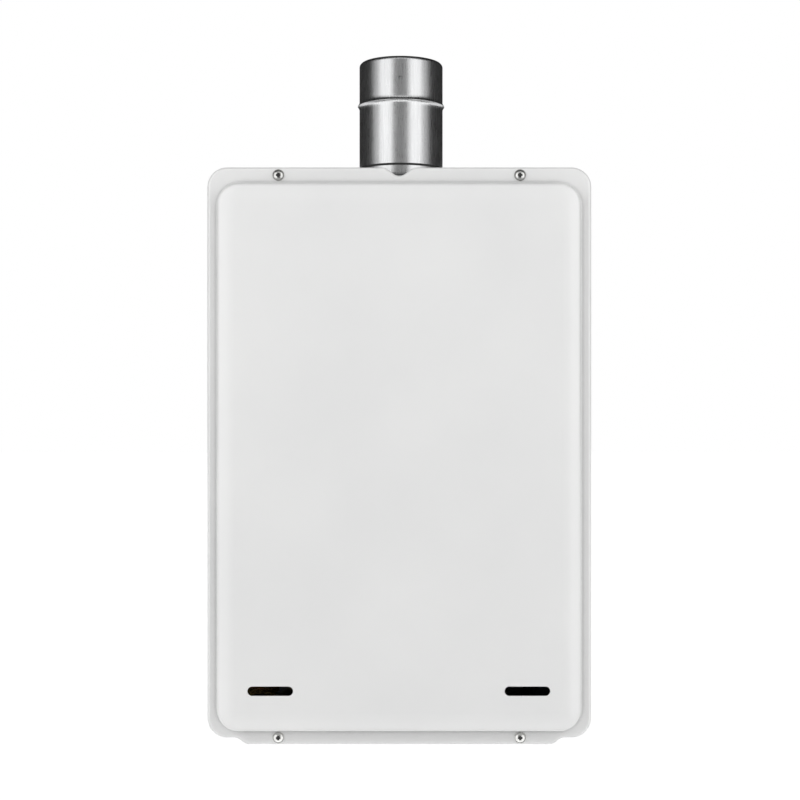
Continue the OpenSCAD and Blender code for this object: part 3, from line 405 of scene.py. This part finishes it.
def threaded_stub(node):
    """Pipe stub with a thread, a hexagon, a neck, a flange and a bore."""
    low, high, x, y = box_of(node)
    outline = []
    for k in range(THREAD_STEPS + 1):
        z = THREAD_LEN * k / THREAD_STEPS
        outline.append((thread(z), low.z + z))
    for k in range(HEX_STEPS + 1):
        z = HEX_LEN * k / HEX_STEPS
        outline.append((hexagon(z), low.z + THREAD_LEN + z))
    outline += [
        (NECK_R, low.z + THREAD_LEN + HEX_LEN),
        (NECK_R, high.z - FLANGE_LEN),
        (FLANGE_R, high.z - FLANGE_LEN),
        (FLANGE_R, high.z),
        (BORE_R, high.z),
        (BORE_R, low.z + BORE_CHAMFER_LEN),
        (BORE_R + BORE_CHAMFER, low.z),
    ]
    bm = bmesh.new()
    rings_into(bm, [level_ring(x, y, z, r, STUB_POINTS) for r, z in outline])
    place_piece("threaded_" + node, bm, "case", SLOT[node], node, smooth_below=STUB_SMOOTH)


for stub in ("cold_fitting", "hot_fitting", "gas_fitting"):
    threaded_stub(stub)


FLUE_R = 40
FLUE_WALL = 0.8
FLUE_POINTS = 288
FLUE_SMOOTH = 35
BEAD_R = 2.4
BEAD_HALF = 2.8
BEAD_TIP = 0.45
BEAD_DOWN = 41.5
TEST_HOLE_DOWN = 21.6
TEST_HOLE_R = 2.0
TEST_HOLE_POINTS = 32
DRILL_LEN = 8
SEAM_RISE = 0.3
SEAM_HALF = 1.3
RIM_R = 4
# Extra rings this far from the bead, the hole and the ends divide the plain stretches
BEAD_MARGIN = 6
TEST_HOLE_MARGIN = 2.5
END_MARGIN = 20
ARC_STEPS = 8
GROOVE_STEPS = 12


def seamed(r):
    """Radius by angle of a pipe with a welded seam at the back."""
    def radius(a):
        off = (a - QUARTER) * FLUE_R / SEAM_HALF
        return r + SEAM_RISE * math.exp(-off * off)
    return radius


def flue_pipe():
    """Collar with a bead, a turned-in rim, a seam at the back and a test hole in front."""
    low, high, x, y = box_of("flue_collar")
    inner = FLUE_R - FLUE_WALL
    bead_z = high.z - BEAD_DOWN
    hole_z = high.z - TEST_HOLE_DOWN
    slope = math.atan2(BEAD_HALF, inner + BEAD_R - FLUE_R)
    rim = FLUE_R - RIM_R, high.z - RIM_R
    outline = [(inner, low.z)]
    outline += [(FLUE_R, z) for z in (
        low.z, low.z + END_MARGIN, bead_z - BEAD_MARGIN, bead_z - BEAD_HALF)]
    outline += arc(inner + BEAD_R - BEAD_TIP, bead_z, BEAD_TIP, -slope, slope, ARC_STEPS)
    outline += [(FLUE_R, z) for z in (
        bead_z + BEAD_HALF, bead_z + BEAD_MARGIN,
        hole_z - TEST_HOLE_MARGIN, hole_z + TEST_HOLE_MARGIN)]
    outline += arc(*rim, RIM_R, 0, QUARTER, ARC_STEPS)
    outline += arc(*rim, RIM_R - FLUE_WALL, QUARTER, 0, ARC_STEPS)
    outline.append((inner, high.z - END_MARGIN))
    outline += arc(inner, bead_z, BEAD_R - FLUE_WALL, QUARTER, -QUARTER, GROOVE_STEPS)
    bm = bmesh.new()
    rings_into(bm, [level_ring(x, y, z, seamed(r), FLUE_POINTS) for r, z in outline])
    pipe = bpy.data.objects.new("uncut_pipe", mesh_from("uncut_pipe", bm, FLUE_SMOOTH))
    bm = bmesh.new()
    aim = Matrix.Translation(Vector((x, y - FLUE_R, hole_z)) * MM)
    bmesh.ops.create_cone(
        bm, cap_ends=True, segments=TEST_HOLE_POINTS, depth=DRILL_LEN * MM,
        radius1=TEST_HOLE_R * MM, radius2=TEST_HOLE_R * MM,
        matrix=aim @ Matrix.Rotation(QUARTER, 4, "X"))
    drill = bpy.data.objects.new("drill", mesh_from("drill", bm, FLUE_SMOOTH))
    for made in (pipe, drill):
        bpy.context.scene.collection.objects.link(made)
    cut = pipe.modifiers.new("cut", "BOOLEAN")
    cut.operation = "DIFFERENCE"
    cut.object = drill
    cut.solver = "EXACT"
    bm = bmesh.new()
    bm.from_object(pipe, bpy.context.evaluated_depsgraph_get())
    for made in (pipe, drill):
        bpy.data.objects.remove(made)
    place_piece("flue_pipe", bm, "case", "stainless", "flue_collar", smooth_below=FLUE_SMOOTH)


flue_pipe()


BASE_FLANGE_T = 1.5
BASE_WALL = 1.4
BASE_POINTS = 192
SPIGOT_LEN = 16
SPIGOT_R = 39.1
LIP_R = 2.6
LIP_DOWN = 6.8


def flue_neck():
    """Flue base whose neck is drawn out to a rounded lip below the seal."""
    low, high, x, y = box_of("flue_base")
    flange_r = (high.x - low.x) / 2
    flange_top = low.z + BASE_FLANGE_T
    neck_top = high.z - SPIGOT_LEN
    waist = FLUE_R - LIP_R
    inner = waist - BASE_WALL
    outline = [(inner, low.z), (flange_r, low.z), (flange_r, flange_top), (waist, flange_top)]
    outline += arc(waist, neck_top - LIP_DOWN, LIP_R, -QUARTER, 0, ARC_STEPS)
    outline += [(FLUE_R, neck_top), (SPIGOT_R, neck_top), (SPIGOT_R, high.z), (inner, high.z)]
    bm = bmesh.new()
    rings_into(bm, [level_ring(x, y, z, r, BASE_POINTS) for r, z in outline])
    place_piece("flue_neck", bm, "case", "stainless", "flue_base", smooth_below=FLUE_SMOOTH)


flue_neck()


SCREW_POINTS = 96
WASHER_R = 5.25
WASHER_T = 1.2
WASHER_CHAMFER = 0.25
DOME_R = 4.5
DOME_H = 1.4
DOME_STEPS = 16
DOME_RINGS = 7
BALL_R = (DOME_R ** 2 + DOME_H ** 2) / (2 * DOME_H)
# A crease between the washer and the dome, from just outside the dome's edge to just inside
CREASE_OUT, CREASE_IN, CREASE_DEPTH = 0.05, 0.1, 0.15
RECESS_HALF = 0.95
RECESS_REACH = 2.1
RECESS_DEPTH = 2.2
# Depth below the dome's top at which the dark block of painted shade in the recess ends
RECESS_SHADE = 0.7
RECESS_EDGE, RECESS_EDGE_DEPTH = 0.12, 0.1
SHANK_R = 2.0
CENTRE_R = 0.05
TINY = 1e-6


def islands(node):
    """Low and high corner of each separate solid of a CAD node."""
    bm = bmesh.new()
    bm.from_mesh(nodes[node].data)
    bmesh.ops.remove_doubles(bm, verts=bm.verts, dist=SAME_POINT * MM)
    left, boxes = set(bm.verts), []
    while left:
        todo = [left.pop()]
        group = list(todo)
        while todo:
            for edge in todo.pop().link_edges:
                for vert in edge.verts:
                    if vert in left:
                        left.remove(vert)
                        todo.append(vert)
                        group.append(vert)
        low = Vector([min(v.co[k] for v in group) for k in range(3)]) / MM
        high = Vector([max(v.co[k] for v in group) for k in range(3)]) / MM
        boxes.append((low, high))
    bm.free()
    return sorted(boxes, key=lambda b: tuple(round(v, 2) for v in b[0]))


def recess(a):
    """Radius by angle of the upright cross in a screw's head."""
    c = max(abs(math.cos(a)), TINY)
    s = max(abs(math.sin(a)), TINY)
    return max(min(RECESS_REACH / c, RECESS_HALF / s), min(RECESS_REACH / s, RECESS_HALF / c))


def wide_recess(a):
    """Radius by angle at which the dome starts to round off into the cross."""
    return recess(a) + RECESS_EDGE


def dome(r):
    """Rise of the head above the washer's seat, at this radius."""
    return WASHER_T + DOME_H - BALL_R + math.sqrt(BALL_R * BALL_R - r * r)


def recess_edge(r):
    """Rise at which the rounding ends in the cross's wall."""
    return dome(r) - RECESS_EDGE_DEPTH


def cover_screw(bm, shade, low, high):
    """Domed screw along -Y in the box of its CAD solid, and a dark block in its recess as painted
    shade.
    """
    x, z = (low.x + high.x) / 2, (low.z + high.z) / 2
    seat = low.y + WASHER_T + DOME_H

    def ring(radius, level):
        """Radius by angle, level by radius above the seat; each may be a number."""
        points = []
        for i in range(SCREW_POINTS):
            a = TURN * i / SCREW_POINTS
            r = radius(a) if callable(radius) else radius
            out = level(r) if callable(level) else level
            points.append(Vector((x + r * math.cos(a), seat - out, z + r * math.sin(a))) * MM)
        return points

    shank = seat - high.y
    floor_level = WASHER_T + DOME_H - RECESS_DEPTH
    rings = [
        ring(CENTRE_R, shank),
        ring(SHANK_R, shank),
        ring(SHANK_R, 0.0),
        ring(WASHER_R, 0.0),
        ring(WASHER_R, WASHER_T - WASHER_CHAMFER),
        ring(WASHER_R - WASHER_CHAMFER, WASHER_T),
        ring(DOME_R + CREASE_OUT, WASHER_T),
        ring(DOME_R - CREASE_IN, WASHER_T - CREASE_DEPTH),
    ]
    for k in range(1, DOME_RINGS + 1):
        rings.append(ring(DOME_R * (1 - k / DOME_STEPS), dome))
    rings += [
        ring(wide_recess, dome),
        ring(recess, recess_edge),
        ring(recess, floor_level),
        ring(CENTRE_R, floor_level),
    ]
    rings_into(bm, rings)
    # Painted shade: a dark block fills the cross recess from its floor up to this level
    top = dome(0) - RECESS_SHADE
    rings_into(shade, [
        ring(CENTRE_R, floor_level),
        ring(recess, floor_level),
        ring(recess, top),
        ring(CENTRE_R, top),
    ])


def cover_screws():
    bm, shade = bmesh.new(), bmesh.new()
    for low, high in islands("cover_screws"):
        cover_screw(bm, shade, low, high)
    place_piece("domed_screws", bm, "cover", "screw_steel", "cover_screws")
    # The recess block is painted shade, in the black rubber look, where only shade falls in the
    # cross
    place_piece("painted_recess_shade", shade, "cover", "screw_steel", "cover_screws", "black_rubber")


cover_screws()


BOARD_T = 1.6
BOARD_BEVEL = 0.2
SEAT_GAP = 0.05
# Width along X, rise off the board and height along Z
RELAY = (9, 9, 14)
PIN = (1, 0.9, 2)
CHIP = (8, 2, 8)
RESISTOR = (1.4, 0.8, 3)
SOCKET = (7, 7, 5)
RELAY_BEVEL, PIN_BEVEL, CHIP_BEVEL, SOCKET_BEVEL = 0.6, 0.1, 0.2, 0.4
RELAY_GAP = 0.4
# IN is from the board's near edge, START from its low end and STOP from its high end;
# UP and DOWN are from the relay or can that the row goes with
RELAY_IN, RELAY_START, RELAY_STOP, RELAY_PITCH = 3.5, 11.5, 24, 26
PIN_IN, PIN_DOWN, PIN_PITCH, PIN_COUNT = 4.6, 3, 2, 4
CAN_R, CAN_LEN, CAN_POINTS = 5.8, 11.9, 32
CAN_IN, CAN_START, CAN_STOP, CAN_PITCH = 8.5, 31.5, 17.5, 44
CHIP_IN, CHIP_UP = 13, 14
RESISTOR_IN, RESISTOR_UP, RESISTOR_PITCH, RESISTOR_COUNT = 15, 26, 2.6, 5
SOCKET_IN, SOCKET_START = 4, 3.5
# Radius and length of a can with a crimped rim, as shares of the whole
CAN_OUTLINE = (
    (0.0, 0), (1, 0), (1, 0.12), (0.9, 0.16), (0.9, 0.2), (1, 0.24), (1, 0.93), (0.9, 1),
    (0.82, 0.97), (0.0, 0.97),
)


def box_into(bm, low, high, bevel):
    """A block with softened edges."""
    size = [(b - a) * MM for a, b in zip(low, high)]
    mid = Vector([(a + b) / 2 for a, b in zip(low, high)]) * MM
    place = Matrix.Translation(mid) @ Matrix.Diagonal((*size, 1))
    made = bmesh.ops.create_cube(bm, size=1, matrix=place)
    edges = list({e for v in made["verts"] for e in v.link_edges})
    bmesh.ops.bevel(bm, geom=edges, offset=bevel * MM, segments=2, affect="EDGES", profile=0.5)


def can_into(bm, x, y, z):
    """A can that stands on the board, along -Y."""
    rings = []
    for wide, far in CAN_OUTLINE:
        points = []
        for i in range(CAN_POINTS):
            a = TURN * i / CAN_POINTS
            r = CAN_R * wide
            place = x + r * math.cos(a), y - far * CAN_LEN, z + r * math.sin(a)
            points.append(Vector(place) * MM)
        rings.append(points)
    rings_into(bm, rings, closed=False)


def control_board():
    """Board with relays, capacitors, sockets and small parts, in the room of its CAD solid."""
    node = "circuit_board"
    low, high, mid_x, _ = box_of(node)
    face = high.y - BOARD_T

    def part(bm, x, z, size, bevel, gap=SEAT_GAP):
        """A block on the board's face, with its low corner at x and z."""
        wide, rise, tall = size
        box_into(bm, (x, face - rise, z), (x + wide, face - gap, z + tall), bevel)

    plate, relays, cans, sockets, small = (bmesh.new() for _ in range(5))
    box_into(plate, (low.x, face, low.z), tuple(high), BOARD_BEVEL)
    z = low.z + RELAY_START
    while z < high.z - RELAY_STOP:
        part(relays, low.x + RELAY_IN, z, RELAY, RELAY_BEVEL, RELAY_GAP)
        for k in range(PIN_COUNT):
            part(small, low.x + PIN_IN + PIN_PITCH * k, z - PIN_DOWN, PIN, PIN_BEVEL)
        z += RELAY_PITCH
    z = low.z + CAN_START
    while z < high.z - CAN_STOP:
        can_into(cans, high.x - CAN_IN, face - SEAT_GAP, z)
        part(small, high.x - CHIP_IN, z + CHIP_UP, CHIP, CHIP_BEVEL)
        for k in range(RESISTOR_COUNT):
            x = high.x - RESISTOR_IN + RESISTOR_PITCH * k
            part(small, x, z + RESISTOR_UP, RESISTOR, PIN_BEVEL)
        z += CAN_PITCH
    wide = SOCKET[0]
    for x in (low.x + SOCKET_IN, mid_x - wide / 2, high.x - SOCKET_IN - wide):
        part(sockets, x, low.z + SOCKET_START, SOCKET, SOCKET_BEVEL)
    place_piece("board_plate", plate, "case", "board_green", node)
    place_piece("board_relays", relays, "case", "black_plastic", node)
    place_piece("board_cans", cans, "case", "screw_steel", node)
    place_piece("board_sockets", sockets, "case", "ivory_plastic", node)
    place_piece("board_small_parts", small, "case", "black_plastic", node)


control_board()


# Camera and light; from here on lengths are in metres

CAMERA_AT = (0.03, -1.521, 0.0558)
FOCAL_PX = 1482
IMAGE_PX = 800
SHIFT_PX = (-32.2, -8.6)
SENSOR_MM = 36
camera = bpy.data.objects.new("camera", bpy.data.cameras.new("camera"))
bpy.context.scene.collection.objects.link(camera)
camera.location = CAMERA_AT
camera.rotation_euler = (math.radians(90), 0, 0)
camera.data.sensor_width = SENSOR_MM
camera.data.lens = SENSOR_MM * FOCAL_PX / IMAGE_PX
camera.data.shift_x = SHIFT_PX[0] / IMAGE_PX
camera.data.shift_y = SHIFT_PX[1] / IMAGE_PX
bpy.context.scene.camera = camera
bpy.context.scene.view_settings.view_transform = "Standard"

AIM = Vector((0, -0.1, 0.05))


def lamp(name, azimuth, elevation, distance, size, power, glossy=False):
    """A softbox aimed at the object, in degrees, metres and watts.

    Azimuth 0 is the camera's side, positive to the right. Only a glossy one shows in reflections.
    """
    data = bpy.data.lights.new(name, "AREA")
    data.shape = "RECTANGLE"
    data.size, data.size_y = size
    data.energy = power
    made = bpy.data.objects.new(name, data)
    bpy.context.scene.collection.objects.link(made)
    a, e = math.radians(azimuth), math.radians(elevation)
    out = Vector((math.sin(a) * math.cos(e), -math.cos(a) * math.cos(e), math.sin(e)))
    made.location = AIM + out * distance
    made.rotation_euler = out.to_track_quat("Z", "Y").to_euler()
    made.visible_glossy = glossy


for side in (-1, 1):
    lamp("side_softbox", side * 41, 5, 1.8, (1.24, 2.3), 4.2, glossy=True)
    lamp("side_fill", side * 41, 5, 1.9, (1.24, 2.3), 8.6)
    lamp("edge_softbox", side * 70, 5, 1.8, (0.7, 2.3), 2.7, glossy=True)
    lamp("upper_fill", side * 62, 30, 1.8, (0.9, 0.9), 5.4)
    lamp("lower_fill", side * 62, -30, 1.8, (0.9, 0.9), 1.0)
lamp("front_fill", 0, 28, 2.2, (1.2, 0.8), 5.5)
lamp("rear_fill", 180, 12, 2.2, (1.6, 1.2), 28)
lamp("rear_rim", 180, 48, 2.4, (2.0, 1.2), 8)


def seen(tree):
    """1 for camera, glossy and transmission rays."""
    path = tree.nodes.new("ShaderNodeLightPath")
    share = path.outputs["Is Camera Ray"]
    for kind in ("Is Glossy Ray", "Is Transmission Ray"):
        most = tree.nodes.new("ShaderNodeMath")
        most.operation = "MAXIMUM"
        tree.links.new(share, most.inputs[0])
        tree.links.new(path.outputs[kind], most.inputs[1])
        share = most.outputs[0]
    return share


def even(grey):
    """Colour of an even grey."""
    return (grey, grey, grey, 1)


def grey_background(tree, grey):
    made = tree.nodes.new("ShaderNodeBackground")
    made.inputs["Color"].default_value = even(grey)
    return made.outputs[0]


AMBIENT = 0.2
world = bpy.data.worlds.new("studio")
world.use_nodes = True
bpy.context.scene.world = world
sky = world.node_tree
sky.nodes.clear()
mix = sky.nodes.new("ShaderNodeMixShader")
sky.links.new(seen(sky), mix.inputs["Fac"])
sky.links.new(grey_background(sky, AMBIENT), mix.inputs[1])
sky.links.new(grey_background(sky, 1), mix.inputs[2])
out = sky.nodes.new("ShaderNodeOutputWorld")
sky.links.new(mix.outputs[0], out.inputs["Surface"])


# Floor and flags

def sheet_of(name, points, faces):
    """A sheet that belongs to the studio and not to the part."""
    mesh = bpy.data.meshes.new(name)
    mesh.from_pydata(points, [], faces)
    made = bpy.data.objects.new(name, mesh)
    bpy.context.scene.collection.objects.link(made)
    return made


def level_sheet(name, half, front, back, z):
    """A level sheet of this half width, between a front and a back edge."""
    points = [(-half, front, z), (half, front, z), (half, back, z), (-half, back, z)]
    return sheet_of(name, points, [(0, 1, 2, 3)])


FLOOR_Z = -1.25
FLOOR_HALF = 30
FLOOR_GREY = 0.8
FLOOR_GLOW = 0.86
floor = level_sheet("floor", FLOOR_HALF, -FLOOR_HALF, FLOOR_HALF, FLOOR_Z)
paint = bpy.data.materials.new("pale_floor")
paint.use_nodes = True
ground = paint.node_tree
ground.nodes.clear()
base = ground.nodes.new("ShaderNodeBsdfDiffuse")
base.inputs["Color"].default_value = even(FLOOR_GREY)
glow = ground.nodes.new("ShaderNodeEmission")
lift = ground.nodes.new("ShaderNodeMath")
lift.operation = "MULTIPLY"
lift.inputs[1].default_value = FLOOR_GLOW
both = ground.nodes.new("ShaderNodeAddShader")
done = ground.nodes.new("ShaderNodeOutputMaterial")
ground.links.new(seen(ground), lift.inputs[0])
ground.links.new(lift.outputs[0], glow.inputs["Strength"])
ground.links.new(base.outputs[0], both.inputs[0])
ground.links.new(glow.outputs[0], both.inputs[1])
ground.links.new(both.outputs[0], done.inputs["Surface"])
floor.data.materials.append(paint)

FLAG_R = 2.7
FLAG_TOP = 2.4
FLAG_STEPS = 18
REAR_FROM, REAR_TO, REAR_LOW, REAR_GREY = 60, 300, -0.1, 0.03
FRONT_HALF, FRONT_GREY = 22, 0.25
OVERHEAD_REACH, OVERHEAD_FRONT, OVERHEAD_GREY = FLAG_R + 0.5, 1.6, 0.02


def curved_sheet(name, first, last, bottom):
    """An upright sheet round the object from this height up, between two azimuths in degrees."""
    points, faces = [], []
    for k in range(FLAG_STEPS + 1):
        a = math.radians(first + (last - first) * k / FLAG_STEPS)
        x, y = AIM.x + FLAG_R * math.sin(a), AIM.y - FLAG_R * math.cos(a)
        points += [(x, y, bottom), (x, y, FLAG_TOP)]
        if k:
            faces.append((2 * k - 2, 2 * k, 2 * k + 1, 2 * k - 1))
    return sheet_of(name, points, faces)


def make_flag(sheet, grey):
    """Makes the sheet a flag that only reflections see; it gives bare metal its dark parts."""
    look = bpy.data.materials.new(sheet.name)
    look.use_nodes = True
    tree = look.node_tree
    tree.nodes.clear()
    shade = tree.nodes.new("ShaderNodeEmission")
    shade.inputs["Color"].default_value = even(grey)
    surface = tree.nodes.new("ShaderNodeOutputMaterial")
    tree.links.new(shade.outputs[0], surface.inputs["Surface"])
    look.cycles.emission_sampling = "NONE"
    sheet.data.materials.append(look)
    sheet.visible_camera = False
    sheet.visible_diffuse = False
    sheet.visible_transmission = False
    sheet.visible_volume_scatter = False
    sheet.visible_shadow = False


make_flag(curved_sheet("rear_flag", REAR_FROM, REAR_TO, REAR_LOW), REAR_GREY)
make_flag(curved_sheet("front_flag", -FRONT_HALF, FRONT_HALF, FLOOR_Z), FRONT_GREY)
overhead = level_sheet(
    "overhead_flag", OVERHEAD_REACH, AIM.y - OVERHEAD_FRONT, AIM.y + OVERHEAD_REACH, FLAG_TOP)
make_flag(overhead, OVERHEAD_GREY)
